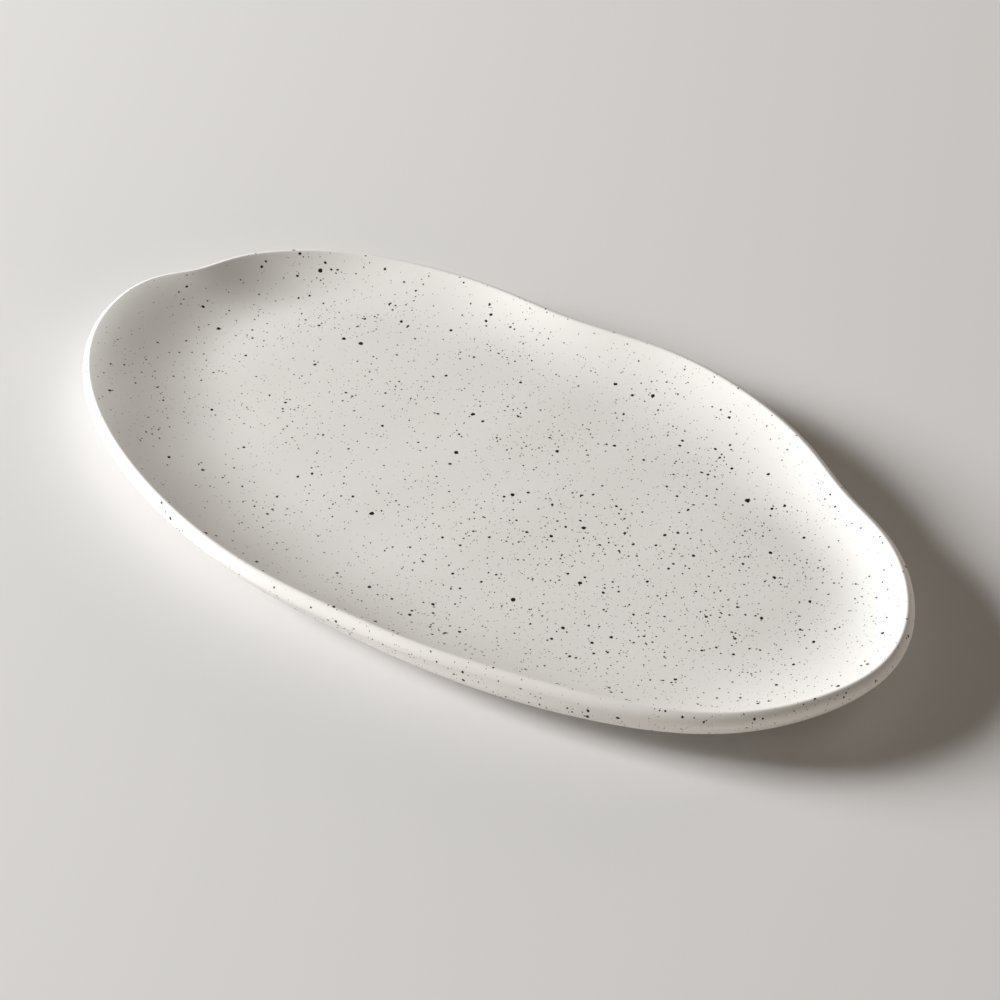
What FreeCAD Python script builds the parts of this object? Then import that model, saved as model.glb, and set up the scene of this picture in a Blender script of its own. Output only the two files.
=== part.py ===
import FreeCAD, Part
import math
import os

# Oval stoneware serving platter with a hand-shaped, wavy rim.
#
# X runs along the length, Y across the width, Z up. The origin is the centre of the platter's box,
# on the surface that it stands on. Millimetres and degrees.
#
# The platter is one fired clay body and the two glaze coats that cover it:
#   stoneware_body   floor, flared wall, rounded rim and the unglazed foot ring, all one clay piece
#   face_glaze       the coat over the floor, the wall, the rim and the outside, down to the foot
#   base_glaze       the coat on the underside, inside the foot ring

DIMENSIONS = [
    # alias, value, meaning
    ("platter_length", 420.0, "longest extent, over the glazed rim"),
    ("platter_width", 227.0, "extent across, over the glazed rim"),
    ("platter_height", 25.0, "from the standing surface to the glazed crest of the rim"),
    ("glaze_thickness", 0.4, "thickness of both glaze coats"),
    ("floor_level", 13.4, "height of the glazed well floor"),
    ("floor_length", 286.0, "length of the flat floor's plain oval"),
    ("floor_width", 122.0, "width of the flat floor's plain oval"),
    ("floor_shift_x", 5.8, "middle of the floor's oval, along the platter"),
    ("floor_shift_y", 4.0, "middle of the floor's oval, across the platter"),
    ("left_bow_place", 192.0, "where the wall is most bowed, as an angle round the oval"),
    ("left_bow_spread", 42.0, "angle over which the wall's bow fades"),
    ("left_bow_most", 2.3, "0 for a wall steepest at the rim, 3 for one level at the rim"),
    ("lip_radius", 4.6, "radius of the clay rim outside its ridge"),
    ("ridge_radius", 1.0, "radius of the clay at the ridge, where the rim meets the inner wall"),
    ("ridge_slope", 25.0, "outward slope at which the lip runs into the ridge"),
    ("face_tilt", 28.0, "lean of the outer face under the lip, inwards from upright"),
    ("face_length", 5.85, "length of the outer face, from the lip to the under-turn"),
    ("front_lean_place", -64.0, "where the ridge stands furthest in, as an angle round the oval"),
    ("front_lean_spread", 20.0, "angle over which that lean fades"),
    ("front_lean_most", 3.5, "how far in the ridge stands there"),
    ("edge_radius", 5.6, "radius of the clay rim where it turns under"),
    ("foot_inset_end", 36.0, "rim to the outside of the foot ring, at the ends"),
    ("foot_inset_side", 30.0, "rim to the outside of the foot ring, at the sides"),
    ("foot_height", 4.5, "height of the foot ring below the glazed underside"),
    ("foot_width", 5.5, "width of the foot ring"),
    ("foot_round", 0.8, "rounding of the foot ring's standing edges"),
]

# The rim line is an oval pressed in or eased out in a few places: the place as an angle round
# the oval, how far the rim is moved outwards, and the spread as an angle.
RIM_WAVES = [
    ("back_left_dip", 160.0, -6.0, 9.0),
    ("back_left_swell", 132.0, 2.3, 12.5),
    ("back_middle_dip", 95.0, -7.0, 12.5),
    ("back_right_swell", 75.5, 3.4, 18.0),
    ("back_right_dip", 44.5, -5.3, 10.5),
    ("right_end_ease", -19.0, -1.9, 14.0),
    ("front_right_ease", -69.0, -3.0, 22.0),
    ("front_middle_ease", -90.0, -2.6, 12.5),
    ("front_left_ease", -133.0, -0.5, 30.0),
]

# The flat floor's outline is waved in the same way.
FLOOR_WAVES = [
    ("floor_back_left", 150.0, 20.0, 25.0),
    ("floor_back_middle", 115.0, -3.0, 25.0),
    ("floor_back_right", 60.0, -9.0, 25.0),
    ("floor_right_back", 20.0, 7.0, 25.0),
    ("floor_right_front", -20.0, -4.0, 25.0),
    ("floor_front_right", -60.0, -8.0, 25.0),
    ("floor_front_left", -150.0, -7.5, 25.0),
]

# Plain oval that the waves are pressed into, before it is brought to the stated length and width.
OVAL_HALF_LENGTH = 208.0
OVAL_HALF_WIDTH = 114.0

# How finely the form is divided: points round an outline, and rings up each stretch of it.
OUTLINE_POINTS = 48
SKIRT_STEPS = 4
EDGE_STEPS = 5
LIP_STEPS = 5
RIDGE_STEPS = 2

# Rings down the inside of the rim and wall, as shares of the depth of the well.
WALL_DROPS = [0.004, 0.018, 0.045, 0.09, 0.15, 0.23, 0.32, 0.42, 0.52, 0.62, 0.72, 0.81, 0.89,
              0.945, 0.985, 1.0]

# Slope of the skirt where it meets the under-turn.
SKIRT_SLOPE = 12.0

doc = FreeCAD.newDocument("serving_platter")
sheet = doc.addObject("Spreadsheet::Sheet", "dimensions")


def fill_sheet():
    """Write every driving dimension into the sheet, one row each, under its alias."""
    rows = list(DIMENSIONS)
    for name, place, push, spread in RIM_WAVES + FLOOR_WAVES:
        rows.append((name + "_place", place, "angle round the oval"))
        rows.append((name + "_push", push, "outward move of the rim line"))
        rows.append((name + "_spread", spread, "angle over which the wave fades"))
    for number, (alias, value, meaning) in enumerate(rows, start=1):
        sheet.set("A%d" % number, alias)
        sheet.set("B%d" % number, str(value))
        sheet.set("C%d" % number, meaning)
        sheet.setAlias("B%d" % number, alias)
    doc.recompute()


fill_sheet()


def size(alias):
    """Value of one driving dimension."""
    return float(getattr(sheet, alias))


# ---------------------------------------------------------------- outlines in plan

ANGLES = [2.0 * math.pi * step / OUTLINE_POINTS for step in range(OUTLINE_POINTS)]


def oval(half_length, half_width):
    """Points of a plain oval, one for each angle."""
    return [(half_length * math.cos(a), half_width * math.sin(a)) for a in ANGLES]


def moved_out(points, distance):
    """The closed outline moved outwards, at each point along its own normal."""
    moved = []
    for index, (x, y) in enumerate(points):
        before = points[index - 1]
        after = points[(index + 1) % len(points)]
        along_x, along_y = after[0] - before[0], after[1] - before[1]
        length = math.hypot(along_x, along_y)
        moved.append((x + distance * along_y / length, y - distance * along_x / length))
    return moved


def between(outer, inner, share):
    """The outline a given share of the way from the outer outline to the inner one."""
    return [
        (xo + (xi - xo) * share, yo + (yi - yo) * share)
        for (xo, yo), (xi, yi) in zip(outer, inner)
    ]


def fade(angle, name):
    """Bell curve round the oval: 1 at the named place, fading with its spread."""
    away = math.remainder(angle - math.radians(size(name + "_place")), 2.0 * math.pi)
    return math.exp(-((away / math.radians(size(name + "_spread"))) ** 2))


def waved(half_length, half_width, waves):
    """Oval moved out, along its own normal, by a sum of waves."""
    outline = []
    for angle, (x, y) in zip(ANGLES, oval(half_length, half_width)):
        push = sum(size(name + "_push") * fade(angle, name) for name, *_ in waves)
        across = (math.cos(angle) / half_length, math.sin(angle) / half_width)
        length = math.hypot(*across)
        outline.append((x + push * across[0] / length, y + push * across[1] / length))
    return outline


def rim_line():
    """Centre line of the rim: the waved oval, brought to size and centred on the origin."""
    line = waved(OVAL_HALF_LENGTH, OVAL_HALF_WIDTH, RIM_WAVES)
    box = closed_curve(line, 0.0).toShape().optimalBoundingBox(False)
    over_rim = 2.0 * (size("lip_radius") + size("glaze_thickness"))
    stretch_x = (size("platter_length") - over_rim) / box.XLength
    stretch_y = (size("platter_width") - over_rim) / box.YLength
    return [((x - box.Center.x) * stretch_x, (y - box.Center.y) * stretch_y) for x, y in line]


def closed_curve(points, height):
    """Smooth closed curve through an outline's points, at one height."""
    curve = Part.BSplineCurve()
    curve.interpolate(Points=[FreeCAD.Vector(x, y, height) for x, y in points], PeriodicFlag=True)
    return curve


RIM = rim_line()
LIP_LINE = [
    (x + (xi - x) * size("front_lean_most") * fade(angle, "front_lean"),
     y + (yi - y) * size("front_lean_most") * fade(angle, "front_lean"))
    for angle, (x, y), (xi, yi) in zip(ANGLES, RIM, moved_out(RIM, -1.0))
]
HALF_LENGTH = size("platter_length") / 2.0
HALF_WIDTH = size("platter_width") / 2.0
WELL = [
    (x + size("floor_shift_x"), y + size("floor_shift_y"))
    for x, y in waved(size("floor_length") / 2.0, size("floor_width") / 2.0, FLOOR_WAVES)
]
FOOT_REACH = (HALF_LENGTH - size("foot_inset_end"), HALF_WIDTH - size("foot_inset_side"))
FOOT = oval(*FOOT_REACH)
FOOT_INSIDE = oval(*[reach - size("foot_width") for reach in FOOT_REACH])


# ---------------------------------------------------------------- section of the platter

def wall_share(level, bow):
    """How far down the wall, as a share of its width, a level of the wall lies.

    The wall falls as 1 - (1 + bow) left^3 + bow left^4, where left is what remains of its width:
    with no bow it is steepest at the rim, and it always runs out level into the floor.
    """
    low, high = 0.0, 1.0
    for _ in range(40):
        left = (low + high) / 2.0
        if 1.0 - (1.0 + bow) * left ** 3 + bow * left ** 4 > level:
            low = left
        else:
            high = left
    return 1.0 - low


def inner_outline(ridge_line, drop, depth, ridge):
    """Outline of the inside at a drop below the crest: first the ridge's arc, then the wall."""
    inside = moved_out(ridge_line, -1.0)
    outline = []
    for angle, at_rim, one_in, at_floor in zip(ANGLES, ridge_line, inside, WELL):
        bow = size("left_bow_most") * fade(angle, "left_bow")
        slope = math.atan((3.0 - bow) * depth / math.dist(at_rim, at_floor))
        arc_drop = ridge * (1.0 - math.cos(slope))
        turned_in = ridge * math.sin(slope)
        if drop <= arc_drop:
            turned_in = math.sqrt(ridge ** 2 - (ridge - drop) ** 2)
        x, y = (r + turned_in * (i - r) for r, i in zip(at_rim, one_in))
        if drop > arc_drop:
            share = wall_share((drop - arc_drop) / (depth - arc_drop), bow)
            x += (at_floor[0] - x) * share
            y += (at_floor[1] - y) * share
        outline.append((x, y))
    return outline


def section_rings(coat):
    """Outlines from the foot, up the outside, over the rim and down to the floor.

    Each ring is its height and its outline. The coat is 0 for the bare clay and the glaze
    thickness for the glazed surface.
    """
    glaze = size("glaze_thickness")
    lip = size("lip_radius") + coat
    edge = size("edge_radius") + coat
    ridge = size("ridge_radius") + coat
    ridge_turn = math.radians(90.0 - size("ridge_slope"))
    ridge_out = (lip - ridge) * math.cos(ridge_turn)
    crest = size("platter_height") - glaze + coat
    ridge_height = crest - ridge
    lip_height = ridge_height - (lip - ridge) * math.sin(ridge_turn)
    tilt = math.radians(size("face_tilt"))
    run = size("face_length")
    edge_back = (lip - edge) * math.cos(tilt) - run * math.sin(tilt)
    edge_height = lip_height + (edge - lip) * math.sin(tilt) - run * math.cos(tilt)
    rings = []

    def add(height, outline):
        rings.append((height, outline))

    # underside of the flared wall, from the foot ring out to the under-turn
    skirt_slope = math.radians(SKIRT_SLOPE)
    skirt_rim = moved_out(RIM, edge_back + edge * math.sin(skirt_slope))
    skirt_bottom = size("foot_height") + glaze - coat
    skirt_top = edge_height - edge * math.cos(skirt_slope)
    for step in range(SKIRT_STEPS):
        share = step / SKIRT_STEPS
        bowed = 0.8 * share + 0.2 * share ** 2
        add(skirt_bottom + (skirt_top - skirt_bottom) * bowed, between(FOOT, skirt_rim, share))
    # under-turn, from the skirt's slope round to the outer face
    for step in range(EDGE_STEPS + 1):
        turn = skirt_slope - math.pi / 2.0
        turn += (-tilt - turn) * step / EDGE_STEPS
        add(edge_height + edge * math.sin(turn), moved_out(RIM, edge_back + edge * math.cos(turn)))
    # lip, from the outer face up to the ridge, then the tighter ridge up to the crest
    for step in range(LIP_STEPS + 1):
        turn = -tilt + (ridge_turn + tilt) * step / LIP_STEPS
        add(lip_height + lip * math.sin(turn), moved_out(LIP_LINE, lip * math.cos(turn)))
    for step in range(1, RIDGE_STEPS + 1):
        turn = ridge_turn + (math.pi / 2.0 - ridge_turn) * step / RIDGE_STEPS
        out = ridge_out + ridge * math.cos(turn)
        add(ridge_height + ridge * math.sin(turn), moved_out(LIP_LINE, out))
    # inside of the crest and the inner wall, down to the floor
    depth = crest - (size("floor_level") - glaze + coat)
    ridge_line = moved_out(LIP_LINE, ridge_out)
    for share in WALL_DROPS[:-1]:
        add(crest - depth * share, inner_outline(ridge_line, depth * share, depth, ridge))
    add(crest - depth, WELL)
    return rings


# ---------------------------------------------------------------- sketches and features

def plane_of(body, role):
    """One of a body's own origin planes."""
    for feature in body.Origin.OriginFeatures:
        if feature.Role == role:
            return feature
    raise RuntimeError("no plane " + role)


def flat_sketch(body, name, outlines, height=0.0, expression=None):
    """Horizontal sketch of closed outlines, at a height or at a height that the sheet drives."""
    sketch = body.newObject("Sketcher::SketchObject", name)
    sketch.AttachmentSupport = [(plane_of(body, "XY_Plane"), "")]
    sketch.MapMode = "FlatFace"
    sketch.AttachmentOffset = FreeCAD.Placement(FreeCAD.Vector(0, 0, height), FreeCAD.Rotation())
    if expression:
        sketch.setExpression("AttachmentOffset.Base.z", expression)
    for outline in outlines:
        sketch.addGeometry(closed_curve(outline, 0.0), False)
    return sketch


def new_body(label):
    """Empty body, named for its sub-part."""
    body = doc.addObject("PartDesign::Body", label)
    body.Label = label
    body.Placement = FreeCAD.Placement()
    return body


def add_shell(body, coat):
    """Floor and wall in one piece: a loft from ring to ring, flat at the foot plane and floor."""
    sketches = [
        flat_sketch(body, "%s_ring_%02d" % (body.Label, number), [points], height)
        for number, (height, points) in enumerate(section_rings(coat))
    ]
    loft = body.newObject("PartDesign::AdditiveLoft", body.Label + "_shell")
    loft.Profile = sketches[0]
    loft.Sections = sketches[1:]
    loft.Ruled = True
    loft.Closed = False
    doc.recompute()
    return loft


def make_stoneware_body():
    """Clay body: the foot ring with its two rounded standing edges, and the shell on top of it."""
    body = new_body("stoneware_body")
    ring = flat_sketch(body, "foot_ring_outline", [FOOT, FOOT_INSIDE])
    pad = body.newObject("PartDesign::Pad", "foot_ring")
    pad.Profile = ring
    pad.setExpression("Length", "<<dimensions>>.foot_height + <<dimensions>>.glaze_thickness")
    doc.recompute()
    standing = [
        "Edge%d" % (number + 1)
        for number, edge in enumerate(pad.Shape.Edges)
        if edge.BoundBox.ZMax < size("foot_round")
    ]
    fillet = body.newObject("PartDesign::Fillet", "foot_ring_round")
    fillet.Base = (pad, standing)
    fillet.setExpression("Radius", "<<dimensions>>.foot_round")
    doc.recompute()
    body.Tip = add_shell(body, 0.0)
    doc.recompute()
    return body


def make_face_glaze(clay):
    """Coat over everything above and outside the foot ring: the glazed form less the clay."""
    form = new_body("glazed_form")
    shell = add_shell(form, size("glaze_thickness"))
    solid_volume = shell.Shape.Volume
    recess = flat_sketch(form, "foot_recess_outline", [FOOT],
                         expression="<<dimensions>>.foot_height")
    pocket = form.newObject("PartDesign::Pocket", "foot_recess")
    pocket.Profile = recess
    pocket.Reversed = True
    pocket.setExpression("Length", "<<dimensions>>.glaze_thickness")
    form.Tip = pocket
    doc.recompute()
    if pocket.Shape.Volume > solid_volume - 1.0:
        raise RuntimeError("the foot recess cut nothing")
    coat = doc.addObject("Part::Cut", "face_glaze")
    coat.Label = "face_glaze"
    coat.Base = form
    coat.Tool = clay
    doc.recompute()
    return coat


def make_base_glaze():
    """Coat on the underside, inside the foot ring: a thin flat panel."""
    body = new_body("base_glaze")
    outline = flat_sketch(body, "base_outline", [FOOT_INSIDE],
                          expression="<<dimensions>>.foot_height")
    pad = body.newObject("PartDesign::Pad", "base_coat")
    pad.Profile = outline
    pad.setExpression("Length", "<<dimensions>>.glaze_thickness")
    body.Tip = pad
    doc.recompute()
    return body


# ---------------------------------------------------------------- build, check and write

def check(objects):
    """Stop if any feature failed or any sub-part is empty, broken or in more than one piece."""
    for item in doc.Objects:
        if "Invalid" in item.State or "Error" in item.State:
            raise RuntimeError(item.Name + " failed: " + str(item.State))
    for item in objects:
        shape = item.Shape
        if shape.isNull() or not shape.isValid() or len(shape.Solids) != 1:
            raise RuntimeError(item.Label + " is not one valid solid")


stoneware_body = make_stoneware_body()
sub_parts = [stoneware_body, make_face_glaze(stoneware_body), make_base_glaze()]
doc.recompute()
check(sub_parts)

os.makedirs("parts", exist_ok=True)
for part in sub_parts:
    part.Shape.exportStep("parts/%s.step" % part.Label)
    box = part.Shape.optimalBoundingBox(False)
    print("%-16s %10.1f mm3  %.2f x %.2f x %.2f mm  z %.2f to %.2f" % (
        part.Label, part.Shape.Volume, box.XLength, box.YLength, box.ZLength, box.ZMin, box.ZMax))
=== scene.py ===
import math

import bpy
import numpy as np
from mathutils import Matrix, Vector


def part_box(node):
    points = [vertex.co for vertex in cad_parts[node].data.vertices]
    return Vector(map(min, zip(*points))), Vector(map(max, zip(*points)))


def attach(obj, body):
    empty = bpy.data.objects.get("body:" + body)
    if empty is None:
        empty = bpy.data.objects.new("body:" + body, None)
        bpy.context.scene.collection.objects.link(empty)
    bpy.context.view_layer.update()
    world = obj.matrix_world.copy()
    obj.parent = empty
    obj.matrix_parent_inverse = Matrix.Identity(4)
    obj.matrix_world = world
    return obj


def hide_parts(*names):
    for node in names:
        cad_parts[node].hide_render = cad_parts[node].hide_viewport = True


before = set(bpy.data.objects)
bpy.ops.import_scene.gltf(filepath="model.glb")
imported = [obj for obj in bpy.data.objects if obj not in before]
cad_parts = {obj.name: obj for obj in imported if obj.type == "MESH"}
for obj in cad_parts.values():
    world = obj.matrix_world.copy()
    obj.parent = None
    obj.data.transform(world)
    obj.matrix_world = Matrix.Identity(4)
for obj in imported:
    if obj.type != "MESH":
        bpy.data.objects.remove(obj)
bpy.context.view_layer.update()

# Oval speckled stoneware serving platter. Lengths are metres; MM turns a size in millimetres
# into metres. X runs along the platter, Y across it, Z up, and it stands on z = 0.

MM = 0.001

# ---------------------------------------------------------------- sizes, from the frame

COAT_HIGH = np.array(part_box("face_glaze")[1])
BASE_LOW, BASE_HIGH = (np.array(corner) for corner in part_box("base_glaze"))
HALF_LENGTH = COAT_HIGH[0]
HALF_WIDTH = COAT_HIGH[1]
CREST = COAT_HIGH[2] - 0.05 * MM
FOOT_PLANE = BASE_LOW[2]

# ---------------------------------------------------------------- sizes that the frame doesn't give

GLAZE = 0.4 * MM
FOOT_WIDTH = 5.5 * MM
FOOT_CORNER = 0.7 * MM
FOOT_X = BASE_HIGH[0] + FOOT_WIDTH
FOOT_Y = BASE_HIGH[1] + FOOT_WIDTH

FLOOR_LEVEL = 13.4 * MM
FLOOR_HALF_LENGTH = 143.0 * MM
FLOOR_HALF_WIDTH = 61.0 * MM
FLOOR_SHIFT = np.array([5.8, 4.0]) * MM
# The rim's section, over the glaze: the lip's arc, the tight ridge that it runs into after a turn,
# and the under-turned edge, whose centre lies this far in from the lip's centre and below it.
LIP_RADIUS = 5.0 * MM
RIDGE_RADIUS = 1.4 * MM
RIDGE_TURN = math.radians(65.0)
EDGE_RADIUS = 6.0 * MM
EDGE_BACK = 3.63 * MM
EDGE_DOWN = 4.69 * MM
# How far a hand-finished surface strays, the height below which it stays true, and the height
# over which the straying comes in above that and goes out again below the crest.
UNEVENNESS = 0.2 * MM
TRUE_BELOW = 6.0 * MM
UNEVEN_FADE = 4.0 * MM

# Where the oval of the rim is pressed in or eased out by hand: the angle round the oval, the
# outward move in millimetres, and the angle over which it fades.
RIM_WAVES = (
    (160.0, -6.0, 9.0),
    (132.0, 2.3, 12.5),
    (95.0, -7.0, 12.5),
    (75.5, 3.4, 18.0),
    (44.5, -5.3, 10.5),
    (-19.0, -1.9, 14.0),
    (-69.0, -3.0, 22.0),
    (-90.0, -2.6, 12.5),
    (-133.0, -0.5, 30.0),
)
# The same for the edge of the flat floor.
FLOOR_WAVES = (
    (150.0, 20.0, 25.0),
    (115.0, -3.0, 25.0),
    (60.0, -9.0, 25.0),
    (20.0, 7.0, 25.0),
    (-20.0, -4.0, 25.0),
    (-60.0, -8.0, 25.0),
    (-150.0, -7.5, 25.0),
)
OVAL_HALF_LENGTH = 208.0 * MM
OVAL_HALF_WIDTH = 114.0 * MM

AROUND = 384
TURN = np.linspace(0.0, 2.0 * math.pi, AROUND, endpoint=False)


# ---------------------------------------------------------------- outlines in plan

def oval(half_length, half_width):
    """Plain oval: half length times the cosine of the angle, half width times its sine."""
    return np.stack([half_length * np.cos(TURN), half_width * np.sin(TURN)], axis=-1)


def outward(outline):
    """Unit normals of a closed outline: the step from neighbour to neighbour, turned outwards."""
    along = np.roll(outline, -1, axis=0) - np.roll(outline, 1, axis=0)
    normal = np.stack([along[:, 1], -along[:, 0]], axis=-1)
    return normal / np.linalg.norm(normal, axis=1, keepdims=True)


def fade(place, spread):
    """Bell curve round the oval: exp(-(angle from its place / its spread) squared)."""
    away = np.angle(np.exp(1j * (TURN - math.radians(place))))
    return np.exp(-((away / math.radians(spread)) ** 2))


def waved(outline, waves):
    """The outline moved out along its normals by the sum of the waves, each a push times a fade."""
    push = sum(height * MM * fade(place, spread) for place, height, spread in waves)
    return outline + push[:, None] * outward(outline)


def rim_line():
    """Centre line of the rim: a waved oval, centred and brought to the frame's length and width."""
    line = waved(oval(OVAL_HALF_LENGTH, OVAL_HALF_WIDTH), RIM_WAVES)
    low, high = line.min(axis=0), line.max(axis=0)
    reach = np.array([HALF_LENGTH, HALF_WIDTH]) - LIP_RADIUS
    return (line - (low + high) / 2.0) * (2.0 * reach / (high - low))


RIM = rim_line()
RIM_OUT = outward(RIM)
WELL = waved(oval(FLOOR_HALF_LENGTH, FLOOR_HALF_WIDTH), FLOOR_WAVES) + FLOOR_SHIFT
BOW = 2.3 * fade(192.0, 42.0)
LEAN = 3.5 * MM * fade(-64.0, 20.0)
LIP_LINE = RIM - RIM_OUT * LEAN[:, None]
FOOT = oval(FOOT_X, FOOT_Y)


# ---------------------------------------------------------------- section of the platter

def wall_fall(share):
    """Part of the depth reached at a share of the wall: 1 - (1 + bow) left^3 + bow left^4.

    left is what remains of the wall's width. With no bow the wall is steepest at the rim; round
    the left end it is bowed, and is steepest over a quarter of the way in. It runs out level.
    """
    left = 1.0 - share
    return 1.0 - (1.0 + BOW) * left ** 3 + BOW * left ** 4


def softness(x, y):
    """Slow unevenness of a hand-finished clay surface, between -1 and 1: three crossed sines."""
    return (
        np.sin(61.0 * x + 17.0 * y + 0.6)
        + np.sin(-23.0 * x + 88.0 * y + 2.1)
        + np.sin(112.0 * x - 41.0 * y + 4.0)
    ) / 3.0


def ring(outline, height):
    """One closed ring of points: an outline with a height, which may vary round it."""
    heights = np.broadcast_to(height, (AROUND,))
    return np.concatenate([outline, heights[:, None]], axis=1)


def face_rings(inset, lip_steps, wall_steps, floor_steps):
    """Rings from the foot, up the outside, over the rim and down to the floor's middle.

    inset is how far under the glaze surface the rings lie. The skirt and the inner wall run
    between two outlines. Between them come the under-turn, the straight outer face that touches
    both its circle and the lip's, the lip, and the tight ridge that meets the inner wall; each
    arc starts and ends on the slope of what it meets.
    """
    lip = LIP_RADIUS - inset
    edge = EDGE_RADIUS - inset
    ridge = RIDGE_RADIUS - inset
    ridge_out = (LIP_RADIUS - RIDGE_RADIUS) * math.cos(RIDGE_TURN)
    ridge_height = CREST - RIDGE_RADIUS
    lip_height = ridge_height - (LIP_RADIUS - RIDGE_RADIUS) * math.sin(RIDGE_TURN)
    edge_height = lip_height - EDGE_DOWN
    apart = np.hypot(EDGE_BACK - LEAN, EDGE_DOWN)
    tilt = np.arctan2(EDGE_BACK - LEAN, EDGE_DOWN) - np.arcsin((EDGE_RADIUS - LIP_RADIUS) / apart)
    floor = FLOOR_LEVEL - inset
    bottom = FOOT_PLANE + inset
    across = np.linalg.norm(LIP_LINE - WELL, axis=1)
    wall_slope = np.arctan((3.0 - BOW) * (CREST - FLOOR_LEVEL) / across)
    reach = np.linalg.norm(RIM - FOOT, axis=1)
    skirt_slope = np.arctan(1.2 * (edge_height - EDGE_RADIUS - FOOT_PLANE) / reach)
    rings = []

    skirt_rim = RIM + RIM_OUT * (edge * np.sin(skirt_slope) - EDGE_BACK)[:, None]
    skirt_top = edge_height - edge * np.cos(skirt_slope)
    for share in np.linspace(0.0, 1.0, wall_steps, endpoint=False):
        bowed = 0.8 * share + 0.2 * share ** 2
        rings.append(ring(FOOT + (skirt_rim - FOOT) * share, bottom + (skirt_top - bottom) * bowed))
    for share in np.linspace(0.0, 1.0, lip_steps):
        start = skirt_slope - math.pi / 2.0
        turn = start + (-tilt - start) * share
        out = edge * np.cos(turn) - EDGE_BACK
        rings.append(ring(RIM + RIM_OUT * out[:, None], edge_height + edge * np.sin(turn)))
    low, high = rings[-1], ring(LIP_LINE + RIM_OUT * (lip * np.cos(tilt))[:, None],
                                lip_height - lip * np.sin(tilt))
    for share in np.linspace(0.0, 1.0, 5)[1:-1]:
        rings.append(low + (high - low) * share)
    for share in np.linspace(0.0, 1.0, 2 * lip_steps):
        turn = -tilt + (RIDGE_TURN + tilt) * share
        out = lip * np.cos(turn)
        rings.append(ring(LIP_LINE + RIM_OUT * out[:, None], lip_height + lip * np.sin(turn)))
    for share in np.linspace(0.0, 1.0, lip_steps)[1:]:
        turn = RIDGE_TURN + (math.pi / 2.0 + wall_slope - RIDGE_TURN) * share
        out = ridge_out + ridge * np.cos(turn)
        rings.append(ring(LIP_LINE + RIM_OUT * out[:, None], ridge_height + ridge * np.sin(turn)))
    inner_rim, wall_top = rings[-1][:, :2], rings[-1][:, 2]
    for share in np.linspace(0.0, 1.0, 2 * wall_steps)[1:]:
        fall = wall_fall(share)
        rings.append(ring(inner_rim + (WELL - inner_rim) * share, wall_top + (floor - wall_top) * fall))
    for share in np.linspace(1.0, 0.0, floor_steps, endpoint=False)[1:]:
        rings.append(ring(FLOOR_SHIFT + (WELL - FLOOR_SHIFT) * share, floor))
    return np.array(rings)


def hand_finish(rings):
    """Lower or raise every point by the unevenness times softness, less at the foot and crest."""
    height = rings[..., 2]
    strength = np.clip((height - TRUE_BELOW) / UNEVEN_FADE, 0.0, 1.0)
    strength = strength * np.clip((CREST - height) / UNEVEN_FADE, 0.0, 1.0)
    moved = rings.copy()
    moved[..., 2] += UNEVENNESS * strength * softness(rings[..., 0], rings[..., 1])
    return moved


def floor_middle(rings):
    """Point that closes the floor: the mean of the innermost ring."""
    return rings[-1].mean(axis=0)


# ---------------------------------------------------------------- meshes

def closed_piece(name, rings, start_centre, end_centre):
    """Closed mesh: a grid of rings, joined round and along, with each end drawn to its centre."""
    count = len(rings)
    points = np.concatenate([rings.reshape(-1, 3), [start_centre, end_centre]])
    first, last = count * AROUND, count * AROUND + 1
    row = np.arange(AROUND)
    after = np.roll(row, -1)
    starts = np.arange(count - 1)[:, None] * AROUND
    quads = np.stack(
        [starts + row, starts + after, starts + AROUND + after, starts + AROUND + row], axis=-1
    ).reshape(-1, 4)
    top = (count - 1) * AROUND
    fans = np.concatenate([
        np.stack([after, row, np.full(AROUND, first)], axis=-1),
        np.stack([top + row, top + after, np.full(AROUND, last)], axis=-1),
    ])
    mesh = bpy.data.meshes.new(name)
    mesh.vertices.add(len(points))
    mesh.vertices.foreach_set("co", points.astype(np.float32).ravel())
    corners = np.concatenate([quads.ravel(), fans.ravel()])
    mesh.loops.add(len(corners))
    mesh.loops.foreach_set("vertex_index", corners.astype(np.int32))
    lengths = np.concatenate([np.full(len(quads), 4), np.full(len(fans), 3)])
    mesh.polygons.add(len(lengths))
    mesh.polygons.foreach_set("loop_start", (np.cumsum(lengths) - lengths).astype(np.int32))
    mesh.polygons.foreach_set("use_smooth", np.ones(len(lengths), dtype=bool))
    mesh.update(calc_edges=True)
    mesh.validate()
    piece = bpy.data.objects.new(name, mesh)
    bpy.context.scene.collection.objects.link(piece)
    return piece


# ---------------------------------------------------------------- colours and nodes

def linear(code):
    """Linear RGBA from an sRGB hex colour."""
    parts = [int(code[i:i + 2], 16) / 255.0 for i in (0, 2, 4)]
    return tuple(c / 12.92 if c <= 0.04045 else ((c + 0.055) / 1.055) ** 2.4 for c in parts) + (1.0,)


def node(tree, kind, settings=None, **inputs):
    """Add a node: settings are its properties, inputs are values or the sockets that feed it."""
    made = tree.nodes.new(kind)
    for key, value in (settings or {}).items():
        setattr(made, key, value)
    for key, value in inputs.items():
        socket = made.inputs[int(key[1:])] if key[0] == "_" else made.inputs[key.replace("_", " ")]
        if isinstance(value, bpy.types.NodeSocket):
            tree.links.new(value, socket)
        else:
            socket.default_value = value
    return made


def new_material(name):
    """Empty node material with its output."""
    material = bpy.data.materials.new(name)
    material.use_nodes = True
    material.node_tree.nodes.clear()
    return material, material.node_tree


# Iron specks, coarsest first: spacing of the grains, largest grain radius (both mm), and the
# share of grains that are there at all.
SPECKS = (
    (9.0, 1.20, 0.20),
    (4.0, 0.84, 0.34),
    (2.2, 0.50, 0.50),
    (1.2, 0.27, 0.36),
)


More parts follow.
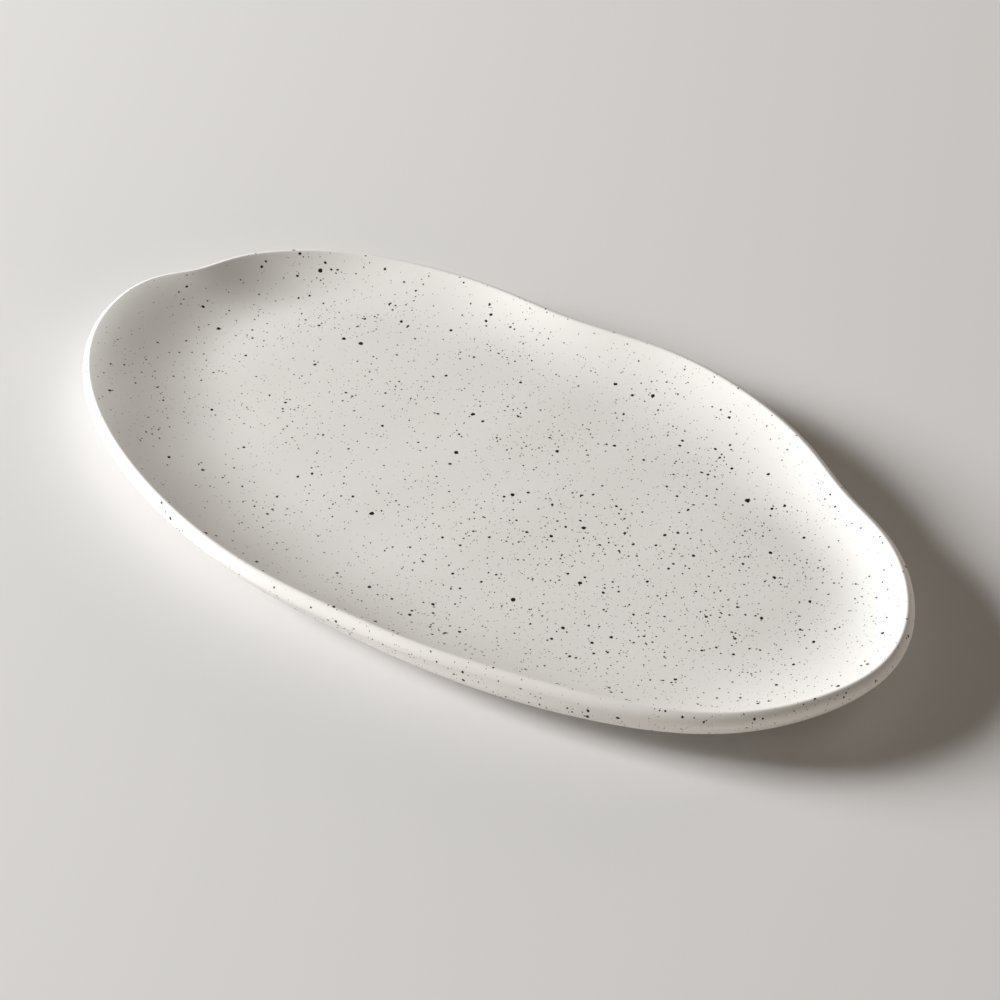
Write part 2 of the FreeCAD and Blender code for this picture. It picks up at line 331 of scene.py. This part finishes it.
def speck_mask(tree, place):
    """How much iron shows at each point, 0 to 1.

    The grains are balls scattered through space, so the surface cuts them into round spots of
    many sizes. Each layer takes a radius drawn for the nearest grain, less its distance. The
    outlines wobble over 1.6 mm. Grains crowd together in patches of 38 mm, grow commoner from the
    left end to the right, and thin out up the wall to the rim.
    """
    wobble = node(tree, "ShaderNodeTexNoise", {"noise_dimensions": "3D"}, Vector=place,
                  Scale=1.0 / (1.6 * MM), Detail=1.0)
    centred = node(tree, "ShaderNodeVectorMath", {"operation": "SUBTRACT"},
                   _0=wobble.outputs["Color"], _1=(0.5, 0.5, 0.5))
    bent = node(tree, "ShaderNodeVectorMath", {"operation": "MULTIPLY_ADD"},
                _0=centred.outputs[0], _1=(0.9 * MM,) * 3, _2=place)
    crowd = node(tree, "ShaderNodeTexNoise", {"noise_dimensions": "3D"}, Vector=place,
                 Scale=1.0 / (38.0 * MM), Detail=2.0)
    along = node(tree, "ShaderNodeSeparateXYZ", Vector=place)
    drift = node(tree, "ShaderNodeMapRange", {}, Value=along.outputs["X"],
                 From_Min=-0.21, From_Max=0.16, To_Min=-0.5, To_Max=0.35)
    crowd_drift = node(tree, "ShaderNodeMapRange", {}, Value=crowd.outputs[0],
                       From_Min=0.3, From_Max=0.7, To_Min=0.45, To_Max=1.55)
    gathered = node(tree, "ShaderNodeMath", {"operation": "ADD"},
                    _0=crowd_drift.outputs[0], _1=drift.outputs[0])
    thinned = node(tree, "ShaderNodeMapRange", {}, Value=along.outputs["Z"],
                   From_Min=14.0 * MM, From_Max=24.0 * MM, To_Min=1.0, To_Max=0.5)
    plenty = node(tree, "ShaderNodeMath", {"operation": "MULTIPLY"},
                  _0=gathered.outputs[0], _1=thinned.outputs[0])
    total = None
    for spacing, radius, share in SPECKS:
        cells = node(tree, "ShaderNodeTexVoronoi", {"voronoi_dimensions": "3D"},
                     Vector=bent.outputs[0], Scale=1.0 / (spacing * MM), Randomness=1.0)
        draws = node(tree, "ShaderNodeSeparateColor", {}, Color=cells.outputs["Color"])
        limit = node(tree, "ShaderNodeMath", {"operation": "MULTIPLY"},
                     _0=plenty.outputs[0], _1=share)
        there = node(tree, "ShaderNodeMath", {"operation": "LESS_THAN"},
                     _0=draws.outputs[0], _1=limit.outputs[0])
        reach = node(tree, "ShaderNodeMapRange", {}, Value=draws.outputs[1], From_Min=0.0,
                     From_Max=1.0, To_Min=0.45 * radius / spacing, To_Max=radius / spacing)
        inside = node(tree, "ShaderNodeMath", {"operation": "SUBTRACT"},
                      _0=reach.outputs[0], _1=cells.outputs["Distance"])
        soft = node(tree, "ShaderNodeMapRange", {"interpolation_type": "SMOOTHSTEP"},
                    Value=inside.outputs[0], From_Min=-0.05 / spacing, From_Max=0.09 / spacing,
                    To_Min=0.0, To_Max=1.0)
        spot = node(tree, "ShaderNodeMath", {"operation": "MULTIPLY"},
                    _0=soft.outputs[0], _1=there.outputs[0])
        if total is None:
            total = spot
        else:
            total = node(tree, "ShaderNodeMath", {"operation": "MAXIMUM"},
                         _0=total.outputs[0], _1=spot.outputs[0])
    return total.outputs[0]


def satin_glaze(name):
    """Off-white satin glaze over speckled stoneware, opacified, fired in oxidation.

    The eye sees a soft, milky white with a broad dull shine, near-black iron specks that have
    bled up from the clay, and a faint warm cloudiness where the coat pooled.
    """
    material, tree = new_material(name)
    place = node(tree, "ShaderNodeTexCoord").outputs["Object"]
    cloud = node(tree, "ShaderNodeTexNoise", {}, Vector=place, Scale=1.0 / (45.0 * MM), Detail=3.0)
    milk = node(tree, "ShaderNodeMix", {"data_type": "RGBA"}, Factor=cloud.outputs[0],
                _6=linear("EFEEEB"), _7=linear("EAE8E4"))
    specks = speck_mask(tree, place)
    colour = node(tree, "ShaderNodeMix", {"data_type": "RGBA"}, Factor=specks,
                  _6=milk.outputs[2], _7=linear("1E1915"))
    dimple = node(tree, "ShaderNodeTexNoise", {}, Vector=place, Scale=1.0 / (4.0 * MM), Detail=2.0)
    relief = node(tree, "ShaderNodeBump", {}, Strength=0.25, Distance=0.05 * MM,
                  Height=dimple.outputs[0])
    sheen = node(tree, "ShaderNodeMapRange", {}, Value=cloud.outputs[0], From_Min=0.3,
                 From_Max=0.7, To_Min=0.46, To_Max=0.54)
    shader = node(tree, "ShaderNodeBsdfPrincipled", {}, Base_Color=colour.outputs[2],
                  Roughness=sheen.outputs[0], IOR=1.5, Specular_IOR_Level=0.3,
                  Normal=relief.outputs[0])
    node(tree, "ShaderNodeOutputMaterial", {}, Surface=shader.outputs[0])
    return material


def bare_stoneware(name):
    """Unglazed buff stoneware, fired: a dry, sandy, slightly toasted clay with iron grains."""
    material, tree = new_material(name)
    place = node(tree, "ShaderNodeTexCoord").outputs["Object"]
    cloud = node(tree, "ShaderNodeTexNoise", {}, Vector=place, Scale=1.0 / (22.0 * MM), Detail=4.0)
    clay = node(tree, "ShaderNodeMix", {"data_type": "RGBA"}, Factor=cloud.outputs[0],
                _6=linear("CDBBA1"), _7=linear("B39C7F"))
    specks = speck_mask(tree, place)
    colour = node(tree, "ShaderNodeMix", {"data_type": "RGBA"}, Factor=specks,
                  _6=clay.outputs[2], _7=linear("33261C"))
    sand = node(tree, "ShaderNodeTexNoise", {}, Vector=place, Scale=1.0 / (0.7 * MM), Detail=3.0)
    relief = node(tree, "ShaderNodeBump", {}, Strength=0.6, Distance=0.12 * MM,
                  Height=sand.outputs[0])
    shader = node(tree, "ShaderNodeBsdfPrincipled", {}, Base_Color=colour.outputs[2],
                  Roughness=0.85, IOR=1.5, Normal=relief.outputs[0])
    node(tree, "ShaderNodeOutputMaterial", {}, Surface=shader.outputs[0])
    return material


def pale_plaster(name):
    """Plain pale plaster of the floor, matt."""
    material, tree = new_material(name)
    shader = node(tree, "ShaderNodeBsdfPrincipled", {}, Base_Color=linear("E3E2E1"), Roughness=0.9)
    node(tree, "ShaderNodeOutputMaterial", {}, Surface=shader.outputs[0])
    return material


# ---------------------------------------------------------------- pieces

def make_face_glaze():
    """Glaze coat: the outer surface and, a coat's thickness under it, the side on the clay."""
    outside = hand_finish(face_rings(0.0, 12, 26, 18))
    inside = hand_finish(face_rings(GLAZE, 6, 10, 8))
    rings = np.concatenate([inside[::-1], outside])
    piece = closed_piece("platter_face_glaze", rings,
                         floor_middle(inside), floor_middle(outside))
    piece.data.materials.append(satin_glaze("satin_white_glaze"))
    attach(piece, "root")
    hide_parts("face_glaze")


def make_clay():
    """Clay body: the foot ring's section, then the same form as the glaze, a coat smaller."""
    upper = hand_finish(face_rings(GLAZE, 8, 16, 12))
    base = FOOT_PLANE + GLAZE
    inner = oval(FOOT_X - FOOT_WIDTH, FOOT_Y - FOOT_WIDTH)
    out = outward(FOOT)
    lower = [ring(inner * share, base) for share in np.linspace(0.0, 1.0, 10)[1:]]
    lower.append(ring(inner, base - 0.3 * MM))
    for outline, start, sign in ((inner, math.pi, 1.0), (FOOT, -math.pi / 2.0, -1.0)):
        for share in np.linspace(0.0, 1.0, 6):
            turn = start + share * math.pi / 2.0
            shift = FOOT_CORNER * (sign + np.cos(turn))
            lower.append(ring(outline + out * shift, FOOT_CORNER * (1.0 + np.sin(turn))))
    rings = np.concatenate([np.array(lower), upper])
    piece = closed_piece("platter_clay", rings, (0.0, 0.0, base), floor_middle(upper))
    piece.data.materials.append(bare_stoneware("bare_buff_stoneware"))
    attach(piece, "root")
    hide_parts("stoneware_body")


def make_base_glaze():
    """Glaze on the underside: a thin flat panel whose edge stops just short of the foot ring."""
    half = np.array([BASE_HIGH[0], BASE_HIGH[1]]) - 0.15 * MM
    rings = []
    for share in np.linspace(0.0, 1.0, 14)[1:]:
        rings.append(ring(oval(*(half * share)), BASE_LOW[2] + 0.02 * MM))
    for share in np.linspace(1.0, 0.0, 10, endpoint=False):
        rings.append(ring(oval(*(half * share)), BASE_HIGH[2]))
    piece = closed_piece("platter_base_glaze", np.array(rings),
                         (0.0, 0.0, BASE_LOW[2]), (0.0, 0.0, BASE_HIGH[2]))
    piece.data.materials.append(satin_glaze("satin_white_base_glaze"))
    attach(piece, "root")
    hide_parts("base_glaze")


make_face_glaze()
make_clay()
make_base_glaze()


# ---------------------------------------------------------------- floor, light and camera

def make_floor():
    """Plain pale floor, twelve metres square, so that it fills every view from above."""
    half = 6.0
    corners = [(-half, -half, 0), (half, -half, 0), (half, half, 0), (-half, half, 0)]
    mesh = bpy.data.meshes.new("floor")
    mesh.from_pydata(corners, [], [(0, 1, 2, 3)])
    floor = bpy.data.objects.new("floor", mesh)
    floor.data.materials.append(pale_plaster("pale_plaster_floor"))
    bpy.context.scene.collection.objects.link(floor)


def aim(thing, target):
    """Turn a light or camera to look at a point."""
    direction = Vector(target) - thing.location
    thing.rotation_mode = "QUATERNION"
    thing.rotation_quaternion = direction.to_track_quat("-Z", "Y")


# Camera, and the directions that the lights are placed by: to its right, away from it, and up.
VIEW_AZIMUTH = math.radians(34.0)
VIEW_ELEVATION = math.radians(44.7)
VIEW_DISTANCE = 1.045
VIEW_TARGET = (0.0088, 0.0041, 0.0)
SENSOR_WIDTH = 36.0
FOCAL_LENGTH = 82.8
RIGHT = np.array([math.cos(VIEW_AZIMUTH), math.sin(VIEW_AZIMUTH), 0.0])
AWAY = np.array([-math.sin(VIEW_AZIMUTH), math.cos(VIEW_AZIMUTH), 0.0])
UP = np.array([0.0, 0.0, 1.0])
LIGHT_TARGET = (0.0, 0.0, 0.01)


def soft_light(name, right, away, up, size, power, tint):
    """Square soft light, placed from the camera's point of view and aimed at the platter."""
    lamp = bpy.data.lights.new(name, "AREA")
    lamp.shape = "SQUARE"
    lamp.size = size
    lamp.energy = power
    lamp.color = linear(tint)[:3]
    light = bpy.data.objects.new(name, lamp)
    light.location = Vector(RIGHT * right + AWAY * away + UP * up)
    aim(light, LIGHT_TARGET)
    bpy.context.scene.collection.objects.link(light)


def make_world(strength):
    """Even, dim, warm surround that fills the shadows a little."""
    world = bpy.data.worlds.new("studio")
    world.use_nodes = True
    background = world.node_tree.nodes["Background"]
    background.inputs["Color"].default_value = linear("F6E9DA")
    background.inputs["Strength"].default_value = strength
    bpy.context.scene.world = world


def make_camera():
    """Camera looking half down across the near side, with a long lens."""
    lens = bpy.data.cameras.new("camera")
    lens.sensor_width = SENSOR_WIDTH
    lens.lens = FOCAL_LENGTH
    camera = bpy.data.objects.new("camera", lens)
    back = (-AWAY * math.cos(VIEW_ELEVATION) + UP * math.sin(VIEW_ELEVATION)) * VIEW_DISTANCE
    camera.location = Vector(VIEW_TARGET) + Vector(back)
    aim(camera, VIEW_TARGET)
    bpy.context.scene.collection.objects.link(camera)
    bpy.context.scene.camera = camera


make_floor()
make_world(0.080)
# A low key from the left draws the long shadow; a weak fill from behind on the right lifts the
# left and near walls, and a weaker one from the front lifts the outer face.
soft_light("key", -3.65, 0.85, 1.47, 1.40, 300.0, "FFFFFF")
soft_light("fill", 1.60, 1.50, 0.50, 1.00, 11.0, "F8EADB")
soft_light("front", 0.80, -2.00, 0.45, 1.00, 9.0, "F8EADB")
make_camera()
bpy.context.scene.view_settings.view_transform = "Standard"
